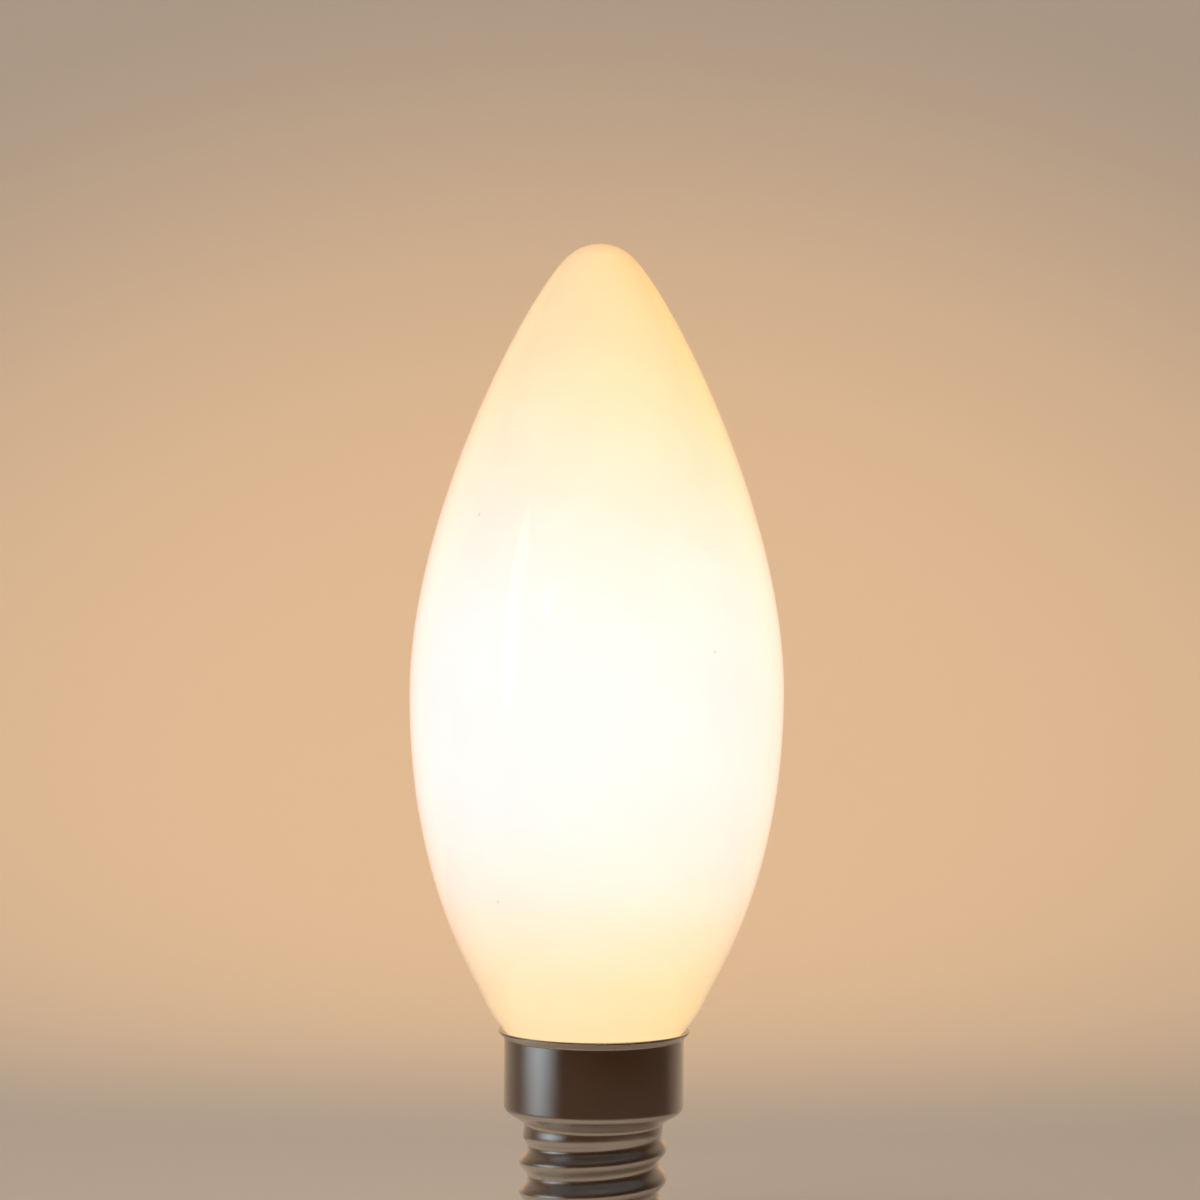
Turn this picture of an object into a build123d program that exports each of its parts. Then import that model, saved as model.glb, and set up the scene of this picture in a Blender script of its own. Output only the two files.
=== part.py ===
from build123d import *
import os
from math import cos, pi, radians, sin, tan

# A candle lamp: an opal glass envelope cemented into a small Edison screw cap.
# The lamp stands upright with its axis on Z. Z = 0 is the flat face of its centre contact.
# Lengths are in millimetres and angles in degrees.

# Glass envelope, with heights counted from the rim of the cap
envelope_diameter = 35.0
envelope_height = 73.45
belly_height = 31.5        # where the envelope is widest
belly_reach_up = 16.7      # how strongly the wall above keeps to the upright of the belly
belly_reach_down = 17.1    # how strongly the wall below keeps to it
tip_radius = 4.5
tip_half_angle = 42.3      # share of the tip that is a true ball, on each side of the axis
tip_reach = 4.9            # how strongly the wall keeps to the slope at the end of that ball
heel_height = 3.0          # where the wall turns in to meet the cap
heel_width = 1.95          # how much wider the heel is than the seat, on each side
heel_lean = 23.9           # slope of the wall at the heel, from the axis
heel_reach = 3.0           # how strongly the wall above keeps to that slope
neck_drop = 1.1            # from the rim down to the straight neck
neck_end_radius = 2.0

# Screw cap, rolled from one sheet
sheet = 0.25
thread_diameter = 13.8     # over the crests
thread_depth = 0.8
thread_pitch = 2.822
thread_length = 10.4       # with both run-outs
thread_runout = 2.0        # over which the thread fades into the plain tube
thread_sections = 8        # sections drawn for each turn
hem_height = 1.4           # turned-in lower end of the tube
hem_width = 0.9
hem_bend = 0.45            # bends are measured on the inside of the sheet
shoulder_height = 1.6      # step from the tube out to the skirt
shoulder_rise = 0.4        # plain tube below the step
shoulder_bend = 0.5
skirt_diameter = 16.8
skirt_height = 7.4         # from the step to the top of the rim
skirt_bend = 0.5
flare_width = 0.55         # how far the rim spreads beyond the skirt
flare_lean = 45.0          # slope of the spread rim, from the axis
flare_bend = 0.2

# Insulator and centre contact
insulator_height = 3.1     # bare cone between the contact and the cap
insulator_margin = 0.6     # ring of insulator left bare around the contact
plug_height = 2.0          # part of the insulator above the hem, inside the tube
plug_taper = 0.6
contact_diameter = 5.4
contact_height = 1.1
contact_edge_width = 0.9   # rounded edge around the flat face
contact_edge_height = 0.7
shank_diameter = 2.4
clinch_width = 0.7         # how far the riveted end spreads over the insulator
clinch_height = 0.4

# Fits
cement_gap = 0.55          # between the neck and the skirt
cement_inset_top = 1.6     # the cement stays this far below the rim
seat_gap = 0.5             # from the outer edge of the rim to the glass in its mouth
neck_end_gap = 0.5         # from the step up to the end of the neck
plug_gap = 0.1             # between the insulator's plug and the thread around it
shank_gap = 0.05           # between the contact's shank and its hole

# Heights on the axis, from the contact up
hem_z = contact_height + insulator_height
thread_z = hem_z + hem_height
thread_top_z = thread_z + thread_length
shoulder_top_z = thread_top_z + shoulder_height
rim_z = shoulder_top_z + skirt_height
tip_z = rim_z + envelope_height
plug_top_z = thread_z + plug_height
neck_end_z = shoulder_top_z + neck_end_gap

# Radii that follow from the sizes above
tube_radius = (thread_diameter - thread_depth) / 2
skirt_radius = skirt_diameter / 2
rim_radius = skirt_radius + flare_width
neck_radius = skirt_radius - sheet - cement_gap
seat_radius = rim_radius - seat_gap
contact_radius = contact_diameter / 2
shank_radius = shank_diameter / 2


def turned(outline):
    """Solid turned about the axis from a closed outline, drawn as radius and height."""
    return revolve(Plane.XZ * make_face(outline.edges()), Axis.Z)


def beside(corners, distance):
    """Corners of a line that runs beside the given one, at a distance on its left."""
    points = [Vector(corner) for corner in corners]
    sides = [(end - start).normalized().rotate(Axis.Z, 90) for start, end in zip(points, points[1:])]
    shifted = []
    for point, before, after in zip(points, sides[:1] + sides, sides + sides[-1:]):
        shifted.append(point + (before + after) * (distance / (1 + before.dot(after))))
    return shifted


def thread_tube(radius):
    """Solid through circles whose centres follow a helix that leaves the axis and comes back to it."""
    steps = round(thread_sections * thread_length / thread_pitch)
    circles = []
    for step in range(steps + 1):
        height = thread_length * step / steps
        share = min(1, height / thread_runout, (thread_length - height) / thread_runout)
        reach = thread_depth / 2 * share * share * (3 - 2 * share)
        turn = 2 * pi * height / thread_pitch
        circles.append(Pos(reach * cos(turn), reach * sin(turn), thread_z + height) * Circle(radius))
    return loft(circles)


# Glass envelope: one sealed solid, from the neck in the cap to the pointed tip
belly_radius = envelope_diameter / 2
belly_z = rim_z + belly_height
tip_angle = radians(tip_half_angle)
heel_angle = radians(heel_lean)
neck_end = (0, neck_end_z)
neck_corner = (neck_radius - neck_end_radius, neck_end_z)
neck_side = (neck_radius, neck_end_z + neck_end_radius)
neck_top = (neck_radius, rim_z - neck_drop)
seat = (seat_radius, rim_z)
heel = (seat_radius + heel_width, rim_z + heel_height)
heel_handle = (heel[0] + heel_reach * sin(heel_angle), heel[1] + heel_reach * cos(heel_angle))
belly = (belly_radius, belly_z)
ball_end = (tip_radius * sin(tip_angle), tip_z - tip_radius * (1 - cos(tip_angle)))
ball_handle = (ball_end[0] + tip_reach * cos(tip_angle), ball_end[1] - tip_reach * sin(tip_angle))
tip = (0, tip_z)
glass_outline = Curve() + [
    Line(neck_end, neck_corner),
    TangentArc(neck_corner, neck_side, tangent=(1, 0)),
    Polyline(neck_side, neck_top, seat),
    TangentArc(heel, seat, tangent=(-sin(heel_angle), -cos(heel_angle))),
    Bezier(heel, heel_handle, (belly_radius, belly_z - belly_reach_down), belly),
    Bezier(belly, (belly_radius, belly_z + belly_reach_up), ball_handle, ball_end),
    TangentArc(tip, ball_end, tangent=(1, 0)),
    Line(tip, neck_end),
]
glass_envelope = turned(glass_outline)

# Screw cap: upper part with the step, the skirt and the spread rim, whose edge is rounded
rim_edge = sheet / 2
flare_angle = radians(flare_lean)
flare_top = (rim_radius - rim_edge * (1 - cos(flare_angle)), rim_z - rim_edge * (1 + sin(flare_angle)))
flare_root_z = flare_top[1] - (flare_top[0] - skirt_radius) / tan(flare_angle)
skirt_corners = [
    (tube_radius, thread_top_z),
    (tube_radius, thread_top_z + shoulder_rise),
    (skirt_radius, shoulder_top_z),
    (skirt_radius, flare_root_z),
    flare_top,
]
skirt_outside = FilletPolyline(skirt_corners, radius=(shoulder_bend, skirt_bend + sheet, flare_bend))
skirt_inside = FilletPolyline(
    beside(skirt_corners, sheet), radius=(shoulder_bend + sheet, skirt_bend, flare_bend + sheet)
)
skirt_outline = Curve() + [
    skirt_outside,
    TangentArc(skirt_outside @ 1, skirt_inside @ 1, tangent=skirt_outside % 1),
    skirt_inside,
    Line(skirt_inside @ 0, skirt_outside @ 0),
]

# Screw cap: the rolled thread, a round thin tube carried sideways along a helix
thread = thread_tube(tube_radius) - thread_tube(tube_radius - sheet)

# Screw cap: lower end, turned in over the insulator
hem_corners = [
    (tube_radius - hem_width, hem_z),
    (tube_radius, hem_z + hem_width),
    (tube_radius, thread_z),
]
hem_outside = FilletPolyline(hem_corners, radius=hem_bend + sheet)
hem_inside = FilletPolyline(beside(hem_corners, sheet), radius=hem_bend)
hem_outline = Curve() + [
    hem_outside,
    Line(hem_outside @ 1, hem_inside @ 1),
    hem_inside,
    Line(hem_inside @ 0, hem_outside @ 0),
]
screw_cap = turned(skirt_outline) + thread + turned(hem_outline)

# Cement ring that holds the neck in the skirt
cement_outline = Polyline(
    neck_side,
    (neck_radius + cement_gap, neck_side[1]),
    (neck_radius + cement_gap, rim_z - cement_inset_top),
    (neck_radius, rim_z - cement_inset_top),
    close=True,
)
capping_cement = turned(cement_outline)

# Insulator: a bare cone below the cap and a plug that fills the hem, with a hole for the contact
plug_radius = tube_radius - thread_depth / 2 - sheet - plug_gap
hole_radius = shank_radius + shank_gap
insulator_outline = Curve() + [
    hem_inside,
    Polyline(
        hem_inside @ 1,
        (plug_radius, thread_z + plug_taper),
        (plug_radius, plug_top_z),
        (hole_radius, plug_top_z),
        (hole_radius, contact_height),
        (contact_radius + insulator_margin, contact_height),
        hem_inside @ 0,
    ),
]
insulator = turned(insulator_outline)

# Centre contact: a rivet with a flat, round-edged head below and a spread end above the insulator
head_flat = (contact_radius - contact_edge_width, 0)
head_side = (contact_radius, contact_edge_height)
contact_outline = Curve() + [
    Line((0, 0), head_flat),
    TangentArc(head_flat, head_side, tangent=(1, 0)),
    Polyline(
        head_side,
        (contact_radius, contact_height),
        (shank_radius, contact_height),
        (shank_radius, plug_top_z),
        (shank_radius + clinch_width, plug_top_z),
        (shank_radius + clinch_width, plug_top_z + clinch_height),
        (0, plug_top_z + clinch_height),
        (0, 0),
    ),
]
centre_contact = turned(contact_outline)

os.makedirs("parts", exist_ok=True)
export_step(glass_envelope, "parts/glass_envelope.step")
export_step(capping_cement, "parts/capping_cement.step")
export_step(screw_cap, "parts/screw_cap.step")
export_step(insulator, "parts/insulator.step")
export_step(centre_contact, "parts/centre_contact.step")
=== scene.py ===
from math import cos, pi, radians, sin

import bpy
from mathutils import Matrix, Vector


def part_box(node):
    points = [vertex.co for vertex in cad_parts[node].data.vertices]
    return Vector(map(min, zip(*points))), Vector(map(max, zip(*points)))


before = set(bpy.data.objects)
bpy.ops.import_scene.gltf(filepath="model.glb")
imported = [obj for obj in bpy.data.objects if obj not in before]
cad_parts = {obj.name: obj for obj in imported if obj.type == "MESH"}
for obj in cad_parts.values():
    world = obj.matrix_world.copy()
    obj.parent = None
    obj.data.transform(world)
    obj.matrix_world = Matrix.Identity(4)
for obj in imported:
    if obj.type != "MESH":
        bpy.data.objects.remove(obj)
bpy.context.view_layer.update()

# Places on the bulb, in metres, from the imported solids
glass_low, glass_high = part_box("glass_envelope")
rim_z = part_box("screw_cap")[1].z
tip_z = glass_high.z
belly_diameter = glass_high.x - glass_low.x

# The photograph's frame, in its own pixels
photo_size = 1200
focal_px = 3094
belly_px = 374.3           # width of the envelope
rim_px = 1029.4            # height of the cap's rim, from the top
axis_px = 597.5            # where the bulb's axis crosses the middle row
camera_roll = -0.45        # degrees, as the bulb leans a little to the right in the frame
sensor_width = 36          # millimetres

# Colours, as linear light
pale_warm = (0.65, 0.585, 0.535)
# Colour of the dark card, a painted dark reflection in the metal and glass
card_brown = (0.08, 0.026, 0.004)
daylight = (0.80, 0.91, 1.0)
skylight = (0.72, 0.88, 1.0)
lamplight = (1.0, 0.57, 0.18)
golden = (1.0, 0.68, 0.14)
cream = (1.0, 0.92, 0.72)
warm_white = (1.0, 0.93, 0.84)
ivory = (1.0, 0.91, 0.76)
yellow = (1.0, 0.88, 0.30)
deep_yellow = (1.0, 0.86, 0.02)
room_white = (1.0, 0.96, 0.90)

# The glow along the axis: share of the way from the rim to the tip, and the colour there
glow = [
    (0.00, (0.66, 0.45, 0.24)),
    (0.03, (0.66, 0.43, 0.21)),
    (0.10, (0.70, 0.47, 0.28)),
    (0.19, (0.77, 0.52, 0.445)),
    (0.30, (0.82, 0.547, 0.545)),
    (0.50, (0.82, 0.547, 0.555)),
    (0.65, (0.76, 0.485, 0.405)),
    (0.80, (0.70, 0.425, 0.235)),
    (1.00, (0.64, 0.325, 0.125)),
]
glow_strength = 1.5
glow_change = 0.025        # how much the glow varies from place to place, up and down

# Specks in the glass, in metres
specks = [
    (-0.0107, -0.0103, 0.0728),
    (0.0105, -0.0137, 0.0606),
    (-0.0087, -0.0120, 0.0380),
    (0.0169, -0.0045, 0.0563),
    (0.0169, -0.0045, 0.0574),
]
speck_radius = 0.00022
speck_core = 0.3 * speck_radius
speck_dim = 0.72           # share of the glow that is left in the core

# Floor and backdrop, in metres, with turns in degrees
floor_radius = 0.16        # flat part
sweep_width = 0.32
sweep_height = 0.28
wall_height = 0.17         # above the sweep
sweep_steps = 32
sweep_turn = 3             # from one column of points to the next
# The dark card is a painted dark reflection: only the metal and glass mirror it, as dark surroundings on
# the camera's side
flag_turn = 5
flag_inner_radius = 0.04
flag_lift = 0.002          # from the floor or wall to the dark card
camera_side = -90          # from +X round to the camera
# How much of the pale studio the dark card covers, by degrees from the camera's side
flag_cover = [
    (-165, 0.0),
    (-140, 0.3),
    (-110, 0.85),
    (-75, 0.75),
    (-35, 1.0),
    (100, 1.0),
    (125, 0.5),
    (150, 0.0),
]

# Where the lamps point, in metres
bulb_middle = (0, 0, 0.055)
belly = (0, 0, 0.06)
skirt = (0, 0, 0.02)


def set_inputs(node, values):
    """Sets inputs of a node by their names or places."""
    for name, value in values.items():
        node.inputs[name].default_value = value


def material(name, values):
    """A new material, its node tree and its Principled shader with the given values."""
    made = bpy.data.materials.new(name)
    made.use_nodes = True
    shader = made.node_tree.nodes["Principled BSDF"]
    set_inputs(shader, values)
    return made, made.node_tree, shader


def add(tree, kind, inputs=None, **settings):
    """A new node, with its settings and the values of its inputs."""
    node = tree.nodes.new(kind)
    for name, value in settings.items():
        setattr(node, name, value)
    set_inputs(node, inputs or {})
    return node


def place(tree):
    """Output that gives each point's place in the bulb's own frame, in metres."""
    return add(tree, "ShaderNodeTexCoord").outputs["Object"]


def noise(tree, where, size, detail=3.0, stretch=(1, 1, 1)):
    """Output of a soft noise whose marks are about the given size, in metres."""
    mapping = add(tree, "ShaderNodeMapping", {"Scale": stretch})
    texture = add(tree, "ShaderNodeTexNoise", {"Scale": 1 / size, "Detail": detail})
    tree.links.new(where, mapping.inputs["Vector"])
    tree.links.new(mapping.outputs["Vector"], texture.inputs["Vector"])
    return texture.outputs["Fac"]


def spread(tree, value, low, high, start=0.3, end=0.7):
    """Output that carries a range, which is the middle of a noise unless given, to another."""
    limits = {"From Min": start, "From Max": end, "To Min": low, "To Max": high}
    node = add(tree, "ShaderNodeMapRange", limits)
    tree.links.new(value, node.inputs["Value"])
    return node.outputs["Result"]


def smooth_ramp(tree, factor, stops):
    """Output that runs smoothly through the colours of its stops."""
    node = add(tree, "ShaderNodeValToRGB")
    node.color_ramp.interpolation = "B_SPLINE"
    elements = node.color_ramp.elements
    while len(elements) < len(stops):
        elements.new(0.5)
    for element, (position, colour) in zip(elements, stops):
        element.position = position
        element.color = (*colour, 1)
    tree.links.new(factor, node.inputs["Fac"])
    return node.outputs["Color"]


def mottle(tree, shader, factor, first, second):
    """Makes a surface vary between two colours."""
    node = add(tree, "ShaderNodeMix", data_type="RGBA")
    node.inputs["A"].default_value = (*first, 1)
    node.inputs["B"].default_value = (*second, 1)
    tree.links.new(factor, node.inputs["Factor"])
    tree.links.new(node.outputs["Result"], shader.inputs["Base Color"])


def roughen(tree, shader, factor, low, high):
    """Makes a surface vary between two levels of roughness."""
    tree.links.new(spread(tree, factor, low, high), shader.inputs["Roughness"])


def bump(tree, shader, height, depth, strength):
    """Raises a surface by a noise, with its depth in metres."""
    node = add(tree, "ShaderNodeBump", {"Strength": strength, "Distance": depth})
    tree.links.new(height, node.inputs["Height"])
    tree.links.new(node.outputs["Normal"], shader.inputs["Normal"])


def glow_level(tree, where):
    """Output that varies the glow a little from place to place and dims it at the specks."""
    level = spread(tree, noise(tree, where, size=0.012), 1 - glow_change, 1 + glow_change)
    for speck in specks:
        away = add(tree, "ShaderNodeVectorMath", {1: speck}, operation="DISTANCE")
        tree.links.new(where, away.inputs[0])
        shade = spread(tree, away.outputs["Value"], speck_dim, 1, speck_core, speck_radius)
        dimmed = add(tree, "ShaderNodeMath", operation="MULTIPLY")
        tree.links.new(level, dimmed.inputs[0])
        tree.links.new(shade, dimmed.inputs[1])
        level = dimmed.outputs["Value"]
    return level


def opal_glass():
    """Lit opal glass: milky all through, whitest at the belly and warmer towards the tip and the cap."""
    values = {
        "Emission Strength": glow_strength,
        "Roughness": 0.35,
        "Specular IOR Level": 0.0,
        "Coat Weight": 1.0,
        "Coat Roughness": 0.03,
        "Coat IOR": 1.5,
    }
    made, tree, shader = material("opal_glass", values)
    where = place(tree)
    split = add(tree, "ShaderNodeSeparateXYZ")
    tree.links.new(where, split.inputs["Vector"])
    share = spread(tree, split.outputs["Z"], 0, 1, rim_z, tip_z)
    lit = add(tree, "ShaderNodeVectorMath", operation="SCALE")
    tree.links.new(smooth_ramp(tree, share, glow), lit.inputs[0])
    tree.links.new(glow_level(tree, where), lit.inputs["Scale"])
    tree.links.new(lit.outputs["Vector"], shader.inputs["Emission Color"])
    mottle(tree, shader, noise(tree, where, size=0.006), (0.28, 0.275, 0.235), (0.31, 0.305, 0.265))
    return made


def plated_sheet():
    """Bright nickel plate with the fine rings that rolling and spinning leave."""
    values = {"Metallic": 1.0, "Anisotropic": 0.85, "Anisotropic Rotation": 0.25}
    made, tree, shader = material("plated_sheet", values)
    where = place(tree)
    mottle(tree, shader, noise(tree, where, size=0.004), (0.58, 0.56, 0.53), (0.66, 0.64, 0.61))
    roughen(tree, shader, noise(tree, where, size=0.006, detail=1.0), 0.20, 0.26)
    around = add(tree, "ShaderNodeTangent", direction_type="RADIAL", axis="Z")
    tree.links.new(around.outputs["Tangent"], shader.inputs["Tangent"])
    rings = noise(tree, where, size=0.004, detail=2.0, stretch=(1, 1, 60))
    bump(tree, shader, rings, depth=0.000001, strength=0.1)
    return made


def black_glass():
    """Glossy black glass of the insulator, a little wavy, as it cooled."""
    made, tree, shader = material("black_glass", {})
    where = place(tree)
    mottle(tree, shader, noise(tree, where, size=0.0015), (0.010, 0.010, 0.012), (0.022, 0.021, 0.022))
    waves = noise(tree, where, size=0.002, detail=2.0)
    roughen(tree, shader, waves, 0.08, 0.2)
    bump(tree, shader, waves, depth=0.00006, strength=0.4)
    return made


def contact_metal():
    """Plated contact with fine turning rings, dulled where it has touched."""
    made, tree, shader = material("contact_metal", {"Metallic": 1.0})
    where = place(tree)
    mottle(tree, shader, noise(tree, where, size=0.0012), (0.58, 0.55, 0.49), (0.74, 0.71, 0.66))
    roughen(tree, shader, noise(tree, where, size=0.001), 0.18, 0.42)
    values = {"Scale": 1500, "Distortion": 1.0}
    rings = add(tree, "ShaderNodeTexWave", values, wave_type="RINGS", rings_direction="Z")
    tree.links.new(where, rings.inputs["Vector"])
    bump(tree, shader, rings.outputs["Fac"], depth=0.00001, strength=0.3)
    return made


def cement():
    """Matt pale cement."""
    made, tree, shader = material("cement", {"Roughness": 0.9})
    grain = noise(tree, place(tree), size=0.0008, detail=6.0)
    mottle(tree, shader, grain, (0.55, 0.50, 0.42), (0.72, 0.67, 0.58))
    bump(tree, shader, grain, depth=0.0001, strength=0.5)
    return made


def studio_paper():
    """Plain pale paper of the floor and backdrop."""
    values = {"Base Color": (*pale_warm, 1), "Roughness": 0.9, "Specular IOR Level": 0.0}
    return material("studio_paper", values)[0]


def dark_card():
    """Dark card, a painted dark reflection, that covers the studio more or less, all along its turn, and
    fades out at both ends.
    """
    made, tree, shader = material("dark_card", {"Base Color": (*card_brown, 1)})
    front = add(tree, "ShaderNodeMapping", {"Rotation": (0, 0, radians(-camera_side))})
    turn = add(tree, "ShaderNodeTexGradient", gradient_type="RADIAL")
    tree.links.new(place(tree), front.inputs["Vector"])
    tree.links.new(front.outputs["Vector"], turn.inputs["Vector"])
    stops = [(degrees / 360 + 0.5, (cover, cover, cover)) for degrees, cover in flag_cover]
    tree.links.new(smooth_ramp(tree, turn.outputs["Fac"], stops), shader.inputs["Alpha"])
    return made


def dress(node, made):
    """Puts a material on a CAD node."""
    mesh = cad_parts[node].data
    mesh.materials.clear()
    mesh.materials.append(made)


def sweep_rings(inner_radius, lift):
    """Radius and height of rings on the floor, up its sweep and the wall, at a small distance from them."""
    rings = [(inner_radius, lift), (floor_radius, lift)]
    for step in range(1, sweep_steps + 1):
        turn = pi / 2 * step / sweep_steps
        radius = floor_radius + (sweep_width - lift) * sin(turn)
        rings.append((radius, sweep_height - (sweep_height - lift) * cos(turn)))
    rings.append((floor_radius + sweep_width - lift, sweep_height + wall_height))
    return rings


def turned_sheet(name, rings, turns, made):
    """A smooth stage piece with one row of points at each ring and one column at each turn, in degrees."""
    points, faces = [], []
    for radius, height in rings:
        points += [(radius * cos(radians(turn)), radius * sin(radians(turn)), height) for turn in turns]
    columns = len(turns)
    for low in range(0, columns * (len(rings) - 1), columns):
        high = low + columns
        faces += [(low + i, high + i, high + i + 1, low + i + 1) for i in range(columns - 1)]
    mesh = bpy.data.meshes.new(name)
    mesh.from_pydata(points, [], faces)
    mesh.shade_smooth()
    mesh.materials.append(made)
    sheet = bpy.data.objects.new(name, mesh)
    bpy.context.scene.collection.objects.link(sheet)
    return sheet


def backdrop():
    """Round floor that sweeps up into a wall all the way round, so that every view has a plain ground."""
    turns = range(0, 360 + 1, sweep_turn)
    return turned_sheet("studio_sweep", sweep_rings(0.0, 0.0), turns, studio_paper())


def flag():
    """A dark card over part of the floor and wall, which only bright surfaces mirror: a painted dark
    reflection that the camera doesn't see and that neither lights nor shades anything.
    """
    first, last = flag_cover[0][0], flag_cover[-1][0]
    turns = range(first + camera_side, last + camera_side + 1, flag_turn)
    card = turned_sheet("flag", sweep_rings(flag_inner_radius, flag_lift), turns, dark_card())
    card.visible_camera = False
    card.visible_diffuse = False
    card.visible_shadow = False
    return card


def hang(name, kind, colour, power, at, aim):
    """A new lamp at a place, turned towards another."""
    light = bpy.data.lights.new(name, kind)
    light.color = colour
    light.energy = power
    lamp = bpy.data.objects.new(name, light)
    lamp.location = at
    lamp.rotation_euler = (Vector(aim) - Vector(at)).to_track_quat("-Z", "Y").to_euler()
    bpy.context.scene.collection.objects.link(lamp)
    return lamp


def softbox(name, on, colour, power, size, at, aim=bulb_middle, mirrored=False, beam=180):
    """A soft oval lamp for some objects alone. It isn't seen itself, and lights them or is mirrored."""
    lamp = hang(name, "AREA", colour, power, at, aim)
    lamp.data.shape = "ELLIPSE"
    lamp.data.size, lamp.data.size_y = size
    lamp.data.spread = radians(beam)
    lamp.visible_camera = False
    lamp.visible_glossy = mirrored
    lamp.visible_diffuse = not mirrored
    receivers = bpy.data.collections.new(name)
    for receiver in on:
        receivers.objects.link(receiver)
    lamp.light_linking.receiver_collection = receivers


def halo(colour, power, angle, at, aim):
    """Round lamp, soft to its edge, on the backdrop behind the bulb."""
    lamp = hang("halo", "SPOT", colour, power, at, aim)
    lamp.data.spot_size = radians(angle)
    lamp.data.spot_blend = 1.0
    lamp.visible_glossy = False


def surround(colour, strength):
    """Faint even light from all sides."""
    world = bpy.data.worlds.new("studio")
    world.use_nodes = True
    set_inputs(world.node_tree.nodes["Background"], {"Color": (*colour, 1), "Strength": strength})
    bpy.context.scene.world = world


def photo_camera():
    """Level camera in front of the bulb, set by the photograph's frame."""
    metres_per_px = belly_diameter / belly_px
    distance = focal_px * metres_per_px
    height = rim_z + (rim_px - photo_size / 2) * metres_per_px
    aside = (photo_size / 2 - axis_px) * metres_per_px
    data = bpy.data.cameras.new("photo_camera")
    data.sensor_width = sensor_width
    data.lens = sensor_width * focal_px / photo_size
    camera = bpy.data.objects.new("photo_camera", data)
    camera.location = (aside, -distance, height)
    camera.rotation_euler = (radians(90), radians(camera_roll), 0)
    bpy.context.scene.collection.objects.link(camera)
    bpy.context.scene.camera = camera


dress("glass_envelope", opal_glass())
dress("screw_cap", plated_sheet())
dress("capping_cement", cement())
dress("insulator", black_glass())
dress("centre_contact", contact_metal())

# The flag is a painted dark reflection, seen only in the cap and glass
stage = [backdrop(), flag()]
pieces = list(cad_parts.values())
glass = [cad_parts["glass_envelope"]]
cap = [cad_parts["screw_cap"]]

# Lamps that light the bulb or the stage
softbox("key", pieces, daylight, power=0.61, size=(0.20, 0.24), at=(-0.17, -0.245, 0.17))
softbox("fill", pieces, golden, power=0.60, size=(0.18, 0.22), at=(0.25, -0.16, 0.16))
softbox("back", pieces, cream, power=0.60, size=(0.24, 0.20), at=(-0.11, 0.25, 0.17))
softbox(
    "top",
    pieces + stage,
    warm_white,
    power=0.5,
    size=(0.50, 0.30),
    at=(0, 0.14, 0.55),
    aim=(0, 0.34, 0.05),
)
softbox(
    "overhead",
    stage,
    ivory,
    power=1.4,
    size=(0.40, 0.40),
    at=(-0.15, -0.15, 0.60),
    aim=(0, 0.03, 0),
)

# Lamps that are only mirrored: two windows in the glass, a strip in the cap, and the edges of the glass
softbox(
    "window_left",
    glass,
    daylight,
    power=0.036,
    size=(0.056, 0.21),
    at=(-0.24, -0.176, 0.13),
    aim=belly,
    mirrored=True,
)
softbox(
    "window_right",
    glass,
    daylight,
    power=0.006,
    size=(0.03, 0.05),
    at=(-0.19, -0.312, 0.19),
    aim=belly,
    mirrored=True,
)
softbox(
    "cool_strip",
    cap,
    skylight,
    power=0.0022,
    size=(0.16, 0.04),
    at=(-0.116, -0.031, 0.022),
    aim=skirt,
    mirrored=True,
    beam=70,
)
softbox(
    "rim_left",
    glass,
    yellow,
    power=0.012,
    size=(0.20, 0.20),
    at=(-0.096, 0.08, 0.07),
    mirrored=True,
    beam=77,
)
softbox(
    "rim_right",
    glass,
    deep_yellow,
    power=0.012,
    size=(0.20, 0.20),
    at=(0.096, 0.08, 0.07),
    mirrored=True,
    beam=77,
)

halo(lamplight, power=6.0, angle=54, at=(0, 0.05, 0.50), aim=(0, 0.32, 0.04))
surround(room_white, strength=0.1)
bpy.context.scene.view_settings.view_transform = "Standard"
photo_camera()
